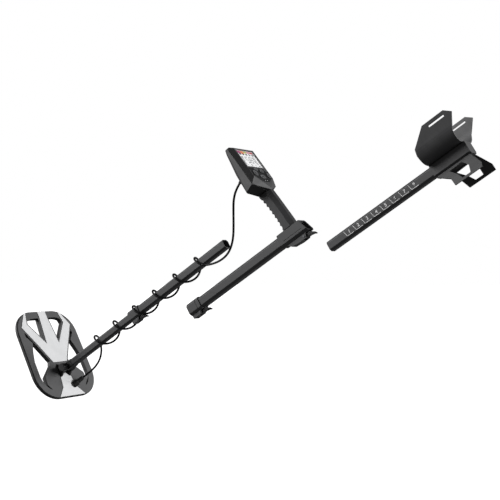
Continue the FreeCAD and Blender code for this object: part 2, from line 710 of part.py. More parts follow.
def armrest_saddle():
    x0, x1 = SADDLE_X
    body = cut(along_x(SADDLE_SECTION, x0, x1), square_bar(STEM_AF + 2 * SEAT, x0 - 1, x1 + 1))
    holes = [Part.makeCylinder(1.95, 4, V(x, 0, 11.5), V(0, 0, 1)) for x in ARMREST_SCREW_X]
    return cut(body, *holes)


def stand():
    """Two splayed legs, each with a window, on a web under the saddle."""
    outline = along_y(LEG_OUTLINE, -60, 60)
    window = along_y(LEG_WINDOW, -60, 60)
    legs = []
    for side in (-1, 1):
        section = [(side * 12, -17.2), (side * 17, -17.2), (side * (37 + LEG_WALL / 2), -61),
                   (side * (37 - LEG_WALL / 2), -61), (side * 13.5, -20.4)]
        legs.append(along_x(section, 360, 480).common(outline).cut(window))
    web = along_x([(-13, -17.2), (13, -17.2), (13.6, -20.4), (-13.6, -20.4)], 360, 480).common(outline)
    return fuse(legs + [web])


def round_head_screw(x, z_top, length, radius, head, head_height):
    shank = Part.makeCylinder(radius, length, V(x, 0, z_top - head_height - length), V(0, 0, 1))
    cap = Part.makeCylinder(head, head_height, V(x, 0, z_top - head_height), V(0, 0, 1))
    slots = [box(x - a, x + a, -b, b, z_top - 1.0, z_top + 1) for a, b in ((2.2, 0.45), (0.45, 2.2))]
    return cut(fuse([shank, cap]), *slots)


# ---------------------------------------------------------------- build: handle section
handle_bore = HANDLE_AF - 2 * TUBE_WALL
put("middle_tube", at(square_tube(HANDLE_AF, handle_bore, *HANDLE_TUBE), HANDLE))
collar, collar_z = lock_collar(32.0, HANDLE_AF, handle_bore + 0.2, -345.0, FRONT_LEVER_X)
put("front_collar", at(collar, HANDLE))
put("front_lever", at(cam_lever(FRONT_LEVER_X, collar_z), HANDLE))
put("front_lever_pin", at(cam_pin(FRONT_LEVER_X, collar_z), HANDLE))
put("socket_block", at(socket_block(), HANDLE))
put("rear_lever", at(cam_lever(*REAR_LEVER), HANDLE))
put("rear_lever_pin", at(cam_pin(*REAR_LEVER), HANDLE))

left_grip, right_grip = grip_shells()
put("grip_left", at(left_grip, HANDLE))
put("grip_right", at(right_grip, HANDLE))
put("grip_screws", at(Part.makeCompound([machine_screw(x, z, 14.4, 18.0) for x, z in GRIP_SCREWS]), HANDLE))
cell_foot, cell_axis = V(3.5, 0, 72.5), V(-0.16, 0, 1).normalize()
cell = Part.makeCylinder(8.5, CELL_LENGTH, cell_foot, cell_axis)
cell_tip = Part.makeCylinder(3.0, 1.5, cell_foot + cell_axis * CELL_LENGTH, cell_axis)
put("battery_cell", at(fuse([cell, cell_tip]), HANDLE))
put("front_guide", at(guide_plug(handle_bore, -331.0), HANDLE))
put("rear_guide", at(guide_plug(handle_bore, 17.0), HANDLE))

rear_housing, face_plate = control_box()
put("control_box_housing", at(rear_housing, HANDLE))
put("control_box_face", at(face_plate, HANDLE))
put("control_box_screws", at(box_screws(), HANDLE))
put("screw_plugs", at(screw_plugs(), HANDLE))
put("screen_lens", at(face_prism(screen_outline(-0.05), -1.9, -0.3, 1.0), HANDLE))
put("lcd_panel", at(face_prism(screen_outline(-1.2), -5.6, -2.1), HANDLE))
put("keypad_panel", at(keypad(), HANDLE))
for name, down, right, high, wide in BUTTONS:
    put(name, at(push_button(down, right, high, wide), HANDLE))
lights = Part.makeCompound([face_rod(down, right, LIGHT_R, -4.0, 0.7) for down, right in STATUS_LIGHTS])
put("status_lights", at(lights, HANDLE))
board = face_prism([(8, -33), (8, 33), (100, 27), (100, -27)], -9.4, -7.8)
chips = [face_prism([(d, r), (d, r + w), (d + h, r + w), (d + h, r)], -11.6, -9.4)
         for d, r, h, w in ((30, -20, 14, 14), (34, 6, 9, 12), (60, -24, 8, 10), (64, 2, 12, 16))]
put("circuit_board", at(fuse([board] + chips), HANDLE))
speaker = Part.makeCone(11, 7, 6, face_point(78, 0, -17.0), FACE_OUT * -1)
speaker_rim = Part.makeCylinder(13, 2.0, face_point(78, 0, -17.0), FACE_OUT)
put("speaker", at(fuse([speaker, speaker_rim]), HANDLE))
gland_nut = Part.makeCylinder(GLAND_R + 2.2, 4.5, GLAND_BASE + GLAND_AXIS * 1.2, GLAND_AXIS)
gland_body = Part.makeCylinder(GLAND_R, 9.0, GLAND_BASE - GLAND_AXIS * 6, GLAND_AXIS)
gland_boot = Part.makeCone(GLAND_R - 0.4, 3.6, GLAND_LENGTH - 3, GLAND_BASE + GLAND_AXIS * 3, GLAND_AXIS)
put("cable_gland", at(fuse([gland_body, gland_nut, gland_boot]), HANDLE))

# ---------------------------------------------------------------- build: lower section
stem_bore = STEM_AF - 2 * TUBE_WALL
rod_bore = ROD_AF - 2 * TUBE_WALL
STEM_LEVER_X = -583.5
put("upper_stem_tube", at(square_tube(STEM_AF, stem_bore, *STEM_TUBE), LOWER))
collar, collar_z = lock_collar(29.0, STEM_AF, ROD_AF + 2 * SLIP, -605.0, STEM_LEVER_X)
put("stem_collar", at(collar, LOWER))
put("stem_lever", at(cam_lever(STEM_LEVER_X, collar_z), LOWER))
put("stem_lever_pin", at(cam_pin(STEM_LEVER_X, collar_z), LOWER))

put("rod_tube", at(square_tube(ROD_AF, rod_bore, *ROD_TUBE), LOWER))
bush = cut(fuse([square_bar(stem_bore - 2 * SLIP, ROD_TUBE[1], ROD_TUBE[1] + 14),
                 square_bar(rod_bore - 2 * SEAT, ROD_TUBE[1] - 22, ROD_TUBE[1])]),
           Part.makeCylinder(7.0, 60, V(ROD_TUBE[1] - 30, 0, 0), V(1, 0, 0)))
put("rod_bush", at(bush, LOWER))
tongue_half = 10.4
tongue = box(PIVOT_X, ROD_TUBE[0], -tongue_half, tongue_half, -10.5, 10.5)
tongue_eye = pin_y(PIVOT_X, 0, 10.5, -tongue_half, tongue_half)
spigot = square_bar(rod_bore - 2 * SEAT, ROD_TUBE[0] - 1, ROD_TUBE[0] + 26)
shoulder = square_bar(ROD_AF, ROD_TUBE[0] - 7, ROD_TUBE[0])
fork = cut(fuse([tongue, tongue_eye, shoulder, spigot]), pin_y(PIVOT_X, 0, PIVOT_BOLT_R + SEAT, -30, 30))
put("rod_end_fitting", at(fork, LOWER))

cover, housing = coil_shells()
put("coil_cover", on_coil(cover))
put("coil_housing", on_coil(housing))
trim_edge = coil_slab(1.0, -TRIM_THICK, 0)
put("coil_front_trim", on_coil(flat_polygon(mirrored(TRIDENT_RIGHT), -TRIM_THICK, 0).common(trim_edge)))
tail = flat_polygon(mirrored(TAIL_RIGHT), -TRIM_THICK, 0).common(trim_edge)
put("coil_tail_trim", on_coil(cut(tail, boot_collar(RELIEF_SEAT + 0.1), *coil_ears())))
coil_joint = -TRIM_THICK - COIL_COVER
put("transmit_winding", on_coil(winding_loop(1, coil_joint - 3.2, coil_joint - 0.4)))
put("receive_winding", on_coil(winding_loop(-1, coil_joint - 6.4, coil_joint - 3.6)))
put("coil_strain_relief", on_coil(strain_relief()))
bolt = fuse([pin_y(PIVOT_X, 0, PIVOT_BOLT_R, -19.5, 25.0), pin_y(PIVOT_X, 0, 7.2, 18.1, 22.0)])
put("pivot_bolt", at(bolt, LOWER))
knob = Part.makeCylinder(11.0, 10.0, V(PIVOT_X, -28.2, 0), V(0, 1, 0))
flutes = [pin_y(PIVOT_X + 12.4 * math.cos(a), 12.4 * math.sin(a), 2.4, -30, -18)
          for a in [i * math.pi / 5 for i in range(10)]]
knob = cut(knob, *flutes, pin_y(PIVOT_X, 0, PIVOT_BOLT_R + SEAT, -19.6, -10))
put("pivot_knob", at(knob, LOWER))
washers = [cut(pin_y(PIVOT_X, 0, 10.0, *sorted((side * (tongue_half + SEAT), side * (EAR_INNER - SEAT)))),
               pin_y(PIVOT_X, 0, PIVOT_BOLT_R + SEAT, -30, 30)) for side in (-1, 1)]
put("pivot_washers", at(Part.makeCompound(washers), LOWER))

# ---------------------------------------------------------------- build: cable
route = cable_route()
turns_start = 1 + len(HANGING_SPAN)
box_lead_last = 6
stem_last = turns_start + STEM_TURNS * TURN_STEPS + 8
bow_first = len(route) - len(COIL_BOW) + 1
PIECES = [("cable_box_lead", 0, box_lead_last), ("cable_stem_lead", box_lead_last + 1, turns_start),
          ("cable_stem_turns", turns_start + 1, stem_last),
          ("cable_rod_turns", stem_last + 1, bow_first - 1), ("cable_coil_bow", bow_first, len(route) - 1)]
for name, first, last in PIECES:
    put(name, cable_tube(route, first, last, CABLE_D))

# ---------------------------------------------------------------- build: rear section
rear_tube = square_tube(STEM_AF, stem_bore, *REAR_TUBE)
rear_tube = cut(rear_tube, *[Part.makeCylinder(1.95, 4, V(x, 0, 9.5), V(0, 0, 1)) for x in ARMREST_SCREW_X])
put("rear_tube", at(rear_tube, REAR))
front_bush = cut(square_bar(stem_bore - 2 * SLIP, REAR_TUBE[0] + 1, REAR_TUBE[0] + 19),
                 Part.makeCylinder(8.0, 40, V(REAR_TUBE[0] - 5, 0, 0), V(1, 0, 0)))
put("rear_tube_bush", at(front_bush, REAR))
end_plate = along_x(SADDLE_SECTION, REAR_TUBE[1] + SEAT, REAR_TUBE[1] + 4)
plug = fuse([end_plate, square_bar(STEM_AF - 1, REAR_TUBE[1], REAR_TUBE[1] + 1),
             square_bar(stem_bore - 2 * SEAT, REAR_TUBE[1] - 14, REAR_TUBE[1])])
put("rear_tube_plug", at(plug, REAR))
put("armrest_cup", at(armrest_cup(), REAR))
put("armrest_saddle", at(armrest_saddle(), REAR))
put("stand", at(stand(), REAR))
screws = [round_head_screw(x, 18.6, 6.2, 1.9, 4.4, 2.1) for x in ARMREST_SCREW_X]
put("armrest_screws", at(Part.makeCompound(screws), REAR))
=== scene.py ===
import math

import bmesh
import bpy
from mathutils import Matrix, Vector


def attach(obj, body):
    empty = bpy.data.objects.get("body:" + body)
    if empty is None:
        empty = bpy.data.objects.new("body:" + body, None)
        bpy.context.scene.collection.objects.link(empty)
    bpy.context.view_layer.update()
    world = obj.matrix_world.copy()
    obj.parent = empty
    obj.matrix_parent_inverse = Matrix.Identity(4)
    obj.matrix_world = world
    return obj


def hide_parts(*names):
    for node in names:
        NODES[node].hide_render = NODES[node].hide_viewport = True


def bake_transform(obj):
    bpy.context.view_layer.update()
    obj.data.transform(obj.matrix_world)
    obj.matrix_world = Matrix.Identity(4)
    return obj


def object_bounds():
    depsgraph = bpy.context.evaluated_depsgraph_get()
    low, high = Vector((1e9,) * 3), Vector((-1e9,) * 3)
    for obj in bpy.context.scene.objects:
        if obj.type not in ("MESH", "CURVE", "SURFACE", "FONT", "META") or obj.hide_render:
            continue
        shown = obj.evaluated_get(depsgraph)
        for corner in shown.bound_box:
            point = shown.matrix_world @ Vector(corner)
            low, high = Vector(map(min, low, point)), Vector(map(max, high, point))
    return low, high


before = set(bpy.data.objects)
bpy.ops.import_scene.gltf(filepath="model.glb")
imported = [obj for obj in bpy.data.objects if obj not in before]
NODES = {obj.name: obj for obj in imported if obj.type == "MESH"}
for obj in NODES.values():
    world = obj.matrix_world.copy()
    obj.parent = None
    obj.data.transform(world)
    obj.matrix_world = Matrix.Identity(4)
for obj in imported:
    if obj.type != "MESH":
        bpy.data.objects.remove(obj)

CAD_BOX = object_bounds()
MM = 0.001

# ---------------------------------------------------------------- the stem frame, as in the model
# Lengths are millimetres along the stem (X, to the elbow), to the user's right (Y) and square to the
# stem on the grip's side (Z), turned to the working slope by stem().
STEM_SLOPE = math.radians(32.0)
TURN = Matrix.Rotation(-STEM_SLOPE, 4, "Y")
HANDLE = Vector((0, 0, -70))
LOWER = HANDLE + Vector((0, 100, 124))
REAR = HANDLE + Vector((0, 0, -76.5))


def stem(x, y, z, section=HANDLE):
    """A point given in millimetres from a section's own axis, in the row frame in metres."""
    return TURN @ ((Vector((x, y, z)) + section) * MM)


# ---------------------------------------------------------------- camera and cable first
CAMERA_PLACE = (1.2501, -1.9042, -0.1080)
CAMERA_AIM = (math.radians(90.37), math.radians(-0.30), math.radians(34.96))
CAMERA_LENS = 70.64


def make_camera():
    data = bpy.data.cameras.new("camera")
    data.lens = CAMERA_LENS
    data.clip_start, data.clip_end = 0.05, 40.0
    camera = bpy.data.objects.new("camera", data)
    camera.location = CAMERA_PLACE
    camera.rotation_euler = CAMERA_AIM
    bpy.context.scene.collection.objects.link(camera)
    bpy.context.scene.camera = camera


make_camera()


# ---------------------------------------------------------------- material tools
EDGE_RADIUS, EDGE_HIGHLIGHT = 0.0007, 1.35     # metres, and how much lighter an edge is painted, a painted highlight
FLAT_MATCH, HIGHLIGHT_MATCH = 0.995, 0.85      # how far the rounded normal agrees, on a flat and at an edge
FACET_FROM, FACET_FULL = 0.965, 0.985     # how far a face has to point along a facet to count as it


def shader(name, colour, roughness=0.5, metallic=0.0):
    """A new material with its Principled shader: (material, nodes, links, shader)."""
    material = bpy.data.materials.new(name)
    material.use_nodes = True
    nodes, links = material.node_tree.nodes, material.node_tree.links
    surface = nodes["Principled BSDF"]
    surface.inputs["Base Color"].default_value = (*colour, 1.0)
    surface.inputs["Roughness"].default_value = roughness
    surface.inputs["Metallic"].default_value = metallic
    return material, nodes, links, surface


def noise(nodes, links, scale, detail=3.0, stretch=None):
    """A noise texture in the object's own metres; stretch squeezes it along X, Y and Z."""
    texture = nodes.new("ShaderNodeTexNoise")
    texture.inputs["Scale"].default_value = scale
    texture.inputs["Detail"].default_value = detail
    place = nodes.new("ShaderNodeTexCoord")
    if stretch:
        mapping = nodes.new("ShaderNodeMapping")
        mapping.inputs["Rotation"].default_value = (0, STEM_SLOPE, 0)
        mapping.inputs["Scale"].default_value = stretch
        links.new(place.outputs["Object"], mapping.inputs["Vector"])
        links.new(mapping.outputs["Vector"], texture.inputs["Vector"])
    else:
        links.new(place.outputs["Object"], texture.inputs["Vector"])
    return texture.outputs["Fac"]


def spread(nodes, links, value, low, high):
    """Maps a 0.3 to 0.7 texture value to low to high."""
    ramp = nodes.new("ShaderNodeMapRange")
    ramp.inputs["From Min"].default_value = 0.3
    ramp.inputs["From Max"].default_value = 0.7
    ramp.inputs["To Min"].default_value = low
    ramp.inputs["To Max"].default_value = high
    links.new(value, ramp.inputs["Value"])
    return ramp.outputs["Result"]


def tint(nodes, links, value, dark, light):
    """A colour that runs from dark to light as a texture value runs from 0.35 to 0.65."""
    ramp = nodes.new("ShaderNodeValToRGB")
    ramp.color_ramp.elements[0].position, ramp.color_ramp.elements[1].position = 0.35, 0.65
    ramp.color_ramp.elements[0].color = (*dark, 1.0)
    ramp.color_ramp.elements[1].color = (*light, 1.0)
    links.new(value, ramp.inputs["Fac"])
    return ramp.outputs["Color"]


def bump(nodes, links, surface, height, strength, depth):
    """Adds a bump of depth metres to what the surface has already."""
    node = nodes.new("ShaderNodeBump")
    node.inputs["Strength"].default_value = strength
    node.inputs["Distance"].default_value = depth
    links.new(height, node.inputs["Height"])
    normal = surface.inputs["Normal"]
    if normal.is_linked:
        links.new(normal.links[0].from_socket, node.inputs["Normal"])
    links.new(node.outputs["Normal"], normal)


def shaded(colour, share):
    return tuple(c * share for c in colour)


def scale_colour(nodes, links, surface, share):
    """Multiplies the surface's colour by a node's value."""
    tone = nodes.new("ShaderNodeVectorMath")
    tone.operation = "SCALE"
    links.new(surface.inputs["Base Color"].links[0].from_socket, tone.inputs[0])
    links.new(share, tone.inputs["Scale"])
    links.new(tone.outputs["Vector"], surface.inputs["Base Color"])


def edge_highlights(nodes, links, surface, radius, lighter):
    """Rounds the look of every edge by radius metres and paints its colour lighter there, a painted
    highlight.
    """
    edge = nodes.new("ShaderNodeBevel")
    edge.samples = 6
    edge.inputs["Radius"].default_value = radius
    links.new(edge.outputs["Normal"], surface.inputs["Normal"])
    flat = nodes.new("ShaderNodeNewGeometry")
    same = nodes.new("ShaderNodeVectorMath")
    same.operation = "DOT_PRODUCT"
    links.new(edge.outputs["Normal"], same.inputs[0])
    links.new(flat.outputs["Normal"], same.inputs[1])
    # painted highlight: the colour is lifted where the rounded normal turns away from the flat one, at every
    # edge
    highlight_share = nodes.new("ShaderNodeMapRange")
    highlight_share.inputs["From Min"].default_value = FLAT_MATCH
    highlight_share.inputs["From Max"].default_value = HIGHLIGHT_MATCH
    highlight_share.inputs["To Min"].default_value = 1.0
    highlight_share.inputs["To Max"].default_value = lighter
    links.new(same.outputs["Value"], highlight_share.inputs["Value"])
    scale_colour(nodes, links, surface, highlight_share.outputs["Result"])


def darken_facets(nodes, links, surface, facets, rest=1.0):
    """Scales the colour of faces that point along each (direction, share), and of the rest by rest."""
    place = nodes.new("ShaderNodeTexCoord")
    shares = None
    for direction, share in facets:
        dot = nodes.new("ShaderNodeVectorMath")
        dot.operation = "DOT_PRODUCT"
        dot.inputs[1].default_value = direction
        links.new(place.outputs["Normal"], dot.inputs[0])
        ramp = nodes.new("ShaderNodeMapRange")
        ramp.inputs["From Min"].default_value = FACET_FROM
        ramp.inputs["From Max"].default_value = FACET_FULL
        ramp.inputs["To Min"].default_value = 0.0
        ramp.inputs["To Max"].default_value = share - rest
        links.new(dot.outputs["Value"], ramp.inputs["Value"])
        total = nodes.new("ShaderNodeMath")
        total.operation = "ADD"
        total.inputs[1].default_value = rest
        if shares is not None:
            links.new(shares, total.inputs[1])
        links.new(ramp.outputs["Result"], total.inputs[0])
        shares = total.outputs["Value"]
    scale_colour(nodes, links, surface, shares)


def moulded(name, colour, roughness, grain=2200.0, grain_depth=0.00006, mottle=0.10,
            facets=(), rest=1.0):
    """Moulded plastic: a fine spark-eroded grain, a little mottling, uneven gloss and a painted highlight
    along the edges.
    """
    material, nodes, links, surface = shader(name, colour, roughness)
    fine = noise(nodes, links, grain, 2.0)
    broad = noise(nodes, links, 38.0, 4.0)
    links.new(tint(nodes, links, broad, shaded(colour, 1 - mottle), shaded(colour, 1 + mottle)),
              surface.inputs["Base Color"])
    links.new(spread(nodes, links, broad, roughness - 0.07, roughness + 0.07),
              surface.inputs["Roughness"])
    edge_highlights(nodes, links, surface, EDGE_RADIUS, EDGE_HIGHLIGHT)
    bump(nodes, links, surface, fine, 0.5, grain_depth)
    # facets darken the colour of faces by the way they point; on the control box this is painted shade
    if facets:
        darken_facets(nodes, links, surface, facets, rest)
    return material


def powder_coat(name, colour, roughness):
    """Powder-coated tube: orange peel, a painted highlight along the edges, and fine handling streaks along
    the stem.
    """
    material, nodes, links, surface = shader(name, colour, roughness)
    peel = noise(nodes, links, 620.0, 2.0)
    streaks = noise(nodes, links, 60.0, 5.0, stretch=(0.12, 6.0, 6.0))
    links.new(tint(nodes, links, streaks, shaded(colour, 0.86), shaded(colour, 1.16)),
              surface.inputs["Base Color"])
    links.new(spread(nodes, links, streaks, roughness - 0.08, roughness + 0.08),
              surface.inputs["Roughness"])
    edge_highlights(nodes, links, surface, EDGE_RADIUS, EDGE_HIGHLIGHT)
    bump(nodes, links, surface, peel, 0.35, 0.0001)
    surface.inputs["Coat Weight"].default_value = 0.12
    surface.inputs["Coat Roughness"].default_value = 0.35
    return material


def brushed(name, colour, roughness):
    """Metal with fine lines along the stem."""
    material, nodes, links, surface = shader(name, colour, roughness, 1.0)
    lines = noise(nodes, links, 900.0, 3.0, stretch=(0.08, 1.0, 1.0))
    links.new(spread(nodes, links, lines, roughness - 0.08, roughness + 0.12), surface.inputs["Roughness"])
    bump(nodes, links, surface, lines, 0.3, 0.00004)
    return material


def jacket(name, colour):
    """Cable jacket: satin PVC with a slight lengthwise waviness."""
    material, nodes, links, surface = shader(name, colour, 0.42)
    soft = noise(nodes, links, 240.0, 3.0)
    links.new(tint(nodes, links, soft, shaded(colour, 0.8), shaded(colour, 1.25)),
              surface.inputs["Base Color"])
    links.new(spread(nodes, links, soft, 0.36, 0.5), surface.inputs["Roughness"])
    bump(nodes, links, surface, soft, 0.3, 0.0001)
    surface.inputs["Specular IOR Level"].default_value = 0.25
    return material


def clear(name, colour, alpha):
    """A clear or tinted window, with faint smears in its gloss."""
    material, nodes, links, surface = shader(name, colour, 0.08)
    surface.inputs["Alpha"].default_value = alpha
    surface.inputs["Specular IOR Level"].default_value = 0.6
    smear = noise(nodes, links, 30.0, 4.0)
    links.new(spread(nodes, links, smear, 0.05, 0.14), surface.inputs["Roughness"])
    return material


def printed(name, colour, roughness=0.5, glow=0.0):
    """Screen-printed ink or a lit display segment: flat colour, slightly uneven."""
    material, nodes, links, surface = shader(name, colour, roughness)
    surface.inputs["Emission Color"].default_value = (*colour, 1.0)
    surface.inputs["Emission Strength"].default_value = glow
    ink = noise(nodes, links, 500.0, 2.0)
    links.new(tint(nodes, links, ink, shaded(colour, 0.93), shaded(colour, 1.05)),
              surface.inputs["Base Color"])
    return material


def turned(x, y, z):
    """A direction given in the stem frame, in the row frame."""
    return tuple((TURN @ Vector((x, y, z))).normalized())


COIL_ANGLE = math.radians(92.0)           # between the stem's normal and the coil's
COIL_UP = (math.sin(COIL_ANGLE), 0, math.cos(COIL_ANGLE))
TUBE = powder_coat("tube_charcoal", (0.050, 0.050, 0.052), 0.5)
HOUSING = moulded("housing_charcoal", (0.058, 0.058, 0.060), 0.55)
# Painted shade on the control box's facets that turn from the light, as (direction, share of the colour):
# the two tall ones, then the two under the chin.
BOX_SHADE_FACETS = [(turned(0.70, side * 0.70, 0.10), 0.45) for side in (-1, 1)]
BOX_SHADE_FACETS += [(turned(0.283, side * 0.425, -0.860), 0.22) for side in (-1, 1)]
BOX_FACE = moulded("box_face", (0.066, 0.066, 0.068), 0.55, facets=BOX_SHADE_FACETS)
BOX_BACK = moulded("box_back", (0.066, 0.066, 0.068), 0.55, facets=BOX_SHADE_FACETS)
COIL_TOP = moulded("coil_cover", (0.062, 0.062, 0.064), 0.55,
                   facets=[(turned(*COIL_UP), 1.0)], rest=0.13)
BLACK = moulded("black_moulding", (0.011, 0.011, 0.012), 0.5)
STAND = moulded("stand_black", (0.020, 0.020, 0.021), 0.5)
CUP = moulded("armrest_charcoal", (0.062, 0.062, 0.064), 0.55)
RUBBER = moulded("grip_rubber", (0.050, 0.050, 0.052), 0.68, 1500.0, 0.00012)
LEVER = moulded("lever_nylon", (0.012, 0.012, 0.013), 0.3, 1600.0, 0.00004)
TRIM = moulded("trim_light_grey", (0.83, 0.835, 0.845), 0.42, 1800.0, 0.00003, 0.025)
STEEL = brushed("zinc_steel", (0.10, 0.10, 0.105), 0.42)
COPPER = brushed("copper_winding", (0.62, 0.30, 0.14), 0.38)
LENS = clear("screen_clear", (0.9, 0.92, 0.93), 0.06)
LCD = printed("lcd_background", (0.93, 0.93, 0.935), 0.35, 0.30)
MEMBRANE = moulded("keypad_membrane", (0.006, 0.006, 0.007), 0.45, 1200.0, 0.00005)
BUTTON = moulded("button_grey", (0.105, 0.107, 0.11), 0.5, 1200.0, 0.00006)
LIGHT = clear("status_light", (0.92, 0.93, 0.92), 0.95)
BOARD = printed("board_green", (0.02, 0.12, 0.05), 0.4)
CELL = printed("cell_wrap", (0.04, 0.07, 0.2), 0.3)
JACKET = jacket("cable_black", (0.004, 0.004, 0.0045))
WASHER = moulded("friction_washer", (0.03, 0.03, 0.03), 0.75)
INK_WHITE = printed("ink_white", (0.93, 0.93, 0.93))
INK_BLACK = printed("ink_black", (0.008, 0.008, 0.010))
INK_GREY = printed("segment_grey", (0.10, 0.11, 0.11))
BANDS = [printed("band_" + name, colour, glow=0.12) for name, colour in (
    ("magenta", (0.36, 0.004, 0.13)), ("orange", (0.78, 0.17, 0.02)), ("yellow_green", (0.50, 0.50, 0.10)),
    ("pink", (0.72, 0.30, 0.38)), ("red", (0.55, 0.08, 0.10)))]

LOOKS = {
    TUBE: ["middle_tube", "upper_stem_tube", "rod_tube", "rear_tube"],
    HOUSING: ["front_collar", "stem_collar", "socket_block"],
    CUP: ["armrest_cup", "armrest_saddle", "rear_tube_plug"],
    COIL_TOP: ["coil_cover"],
    BOX_FACE: ["control_box_face"],
    BOX_BACK: ["control_box_housing"],
    STAND: ["stand"],
    BLACK: ["rod_bush", "rod_end_fitting", "coil_housing", "pivot_bolt", "pivot_knob", "rear_tube_bush",
            "front_guide", "rear_guide", "speaker", "cable_gland", "coil_strain_relief"],
    RUBBER: ["grip_left", "grip_right", "screw_plugs"],
    LEVER: ["front_lever", "rear_lever", "stem_lever"],
    TRIM: ["coil_front_trim", "coil_tail_trim"],
    STEEL: ["front_lever_pin", "rear_lever_pin", "stem_lever_pin", "grip_screws", "control_box_screws",
            "armrest_screws"],
    COPPER: ["transmit_winding", "receive_winding"],
    LENS: ["screen_lens"],
    LCD: ["lcd_panel"],
    MEMBRANE: ["keypad_panel"],
    BUTTON: ["menu_button", "light_button", "up_button", "down_button", "pinpoint_button", "power_button"],
    LIGHT: ["status_lights"],
    BOARD: ["circuit_board"],
    CELL: ["battery_cell"],
    WASHER: ["pivot_washers"],
}


def dress(piece, material):
    piece.data.materials.clear()
    piece.data.materials.append(material)


for look, names in LOOKS.items():
    for name in names:
        dress(NODES[name], look)


# ---------------------------------------------------------------- the cable
CABLE_D, CABLE_SIDES = 5.5, 16
TURN_PITCH, TURN_BUNCHING = 83.0, 0.7
TURN_SIDE, TURN_TOP = 19.5, 22.8
FIRST_TURN_X, FIRST_TURN_ANGLE, TURN_STEPS = -334.0, 0.75 * math.pi, 12
TURN_POINTS = 5 * TURN_STEPS + 8
TURN_POINTS_ON_STEM = 3 * TURN_STEPS + 8
GUIDE_JOIN = 6                            # the route's point where the lead from the box hands over
GLAND_BASE = Vector((-41.4, -6, 189))
GLAND_AXIS = Vector((-0.93, 0, -0.37)).normalized()
GLAND_LENGTH = 17.0
HANGING_SPAN = [(-0.074, -0.006, 0.176), (-0.097, 0.002, 0.1635), (-0.119, 0.014, 0.145),
                (-0.144, 0.029, 0.124), (-0.171, 0.046, 0.105), (-0.200, 0.062, 0.093),
                (-0.230, 0.075, 0.0885), (-0.259, 0.083, 0.091), (-0.286, 0.0865, 0.098)]
COIL_BOW = [(-0.765, 0.020, -0.0055), (-0.777, 0.028, -0.013), (-0.797, 0.038, -0.0215),
            (-0.820, 0.046, -0.028), (-0.845, 0.052, -0.031), (-0.867, 0.0545, -0.0325),
            (-0.8852, 0.052, -0.0334), (-0.894, 0.042, -0.0376)]


def cable_route():
    """The control points of the whole cable, in the row frame in metres."""
    gland_end = GLAND_BASE + GLAND_AXIS * GLAND_LENGTH
    route = [stem(*gland_end)]
    route += [stem(x / MM, y / MM, z / MM) for x, y, z in HANGING_SPAN]
    step = 2 * math.pi / TURN_STEPS
    for i in range(TURN_POINTS):
        angle = FIRST_TURN_ANGLE - i * step
        x = FIRST_TURN_X + TURN_PITCH * (angle - TURN_BUNCHING * math.sin(angle)) / (2 * math.pi)
        route.append(stem(x, -TURN_SIDE * math.sin(angle), TURN_TOP * math.cos(angle), LOWER))
    route += [stem(x / MM, y / MM, z / MM, LOWER) for x, y, z in COIL_BOW]
    return route


def smooth_line(points):
    """Close-set points along the NURBS spline with these control points."""
    curve = bpy.data.curves.new("cable_line", "CURVE")
    curve.dimensions = "3D"
    spline = curve.splines.new("NURBS")
    spline.points.add(len(points) - 1)
    for made, point in zip(spline.points, points):
        made.co = (*point, 1.0)
    spline.order_u = 3
    spline.use_endpoint_u = True
    curve.resolution_u = 6
    holder = bpy.data.objects.new("cable_line", curve)
    mesh = bpy.data.meshes.new_from_object(holder)
    line = [v.co.copy() for v in mesh.vertices]
    bpy.data.objects.remove(holder)
    bpy.data.curves.remove(curve)
    bpy.data.meshes.remove(mesh)
    return line


def nearest(line, point):
    return min(range(len(line)), key=lambda i: (line[i] - point).length)


def ring_frames(line):
    """A pair of cross directions at each point, carried along the line without twisting."""
    frames, side = [], Vector((0, 1, 0))
    for i in range(len(line)):
        ahead = line[min(i + 1, len(line) - 1)] - line[max(i - 1, 0)]
        ahead.normalize()
        side = (side - ahead * side.dot(ahead)).normalized()
        frames.append((side.copy(), ahead.cross(side)))
    return frames


def tube_piece(name, line, frames, first, last, radius, material):
    """A closed tube along part of a line."""
    mesh = bmesh.new()
    rings = []
    for i in range(first, last + 1):
        across, over = frames[i]
        ring = []
        for k in range(CABLE_SIDES):
            angle = 2 * math.pi * k / CABLE_SIDES
            offset = across * math.cos(angle) + over * math.sin(angle)
            ring.append(mesh.verts.new(line[i] + offset * radius))
        rings.append(ring)
    for low, high in zip(rings, rings[1:]):
        for k in range(CABLE_SIDES):
            n = (k + 1) % CABLE_SIDES
            mesh.faces.new((low[k], low[n], high[n], high[k]))
    mesh.faces.new(list(reversed(rings[0])))
    mesh.faces.new(rings[-1])
    bmesh.ops.recalc_face_normals(mesh, faces=mesh.faces)
    return finish_mesh(name, mesh, material, smooth=True)


def finish_mesh(name, mesh, material, smooth=False):
    data = bpy.data.meshes.new(name)
    mesh.to_mesh(data)
    mesh.free()
    for face in data.polygons:
        face.use_smooth = smooth
    data.materials.append(material)
    piece = bpy.data.objects.new(name, data)
    bpy.context.scene.collection.objects.link(piece)
    return piece


def make_cable():
    route = cable_route()
    line = smooth_line(route)
    frames = ring_frames(line)
    turns = 1 + len(HANGING_SPAN)
    joins = [GUIDE_JOIN, turns, turns + TURN_POINTS_ON_STEM, len(route) - len(COIL_BOW)]
    cuts = [0] + [nearest(line, (route[m] + route[m + 1]) / 2) for m in joins] + [len(line) - 1]
    pieces = [("cable_lead_from_box", "cable_box_lead", ("handle_section", "front_guide")),
              ("cable_lead_to_stem", "cable_stem_lead", ("front_guide", "upper_stem")),
              ("cable_turns_on_stem", "cable_stem_turns", None),
              ("cable_turns_on_rod", "cable_rod_turns", ("upper_stem", "rod")),
              ("cable_bow_to_coil", "cable_coil_bow", ("rod", "coil"))]
    for (name, node, bodies), first, last in zip(pieces, cuts, cuts[1:]):
        piece = tube_piece(name, line, frames, first, last, CABLE_D / 2 * MM, JACKET)
        if bodies:
            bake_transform(piece)
        else:
            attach(piece, "upper_stem")
        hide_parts(node)


make_cable()


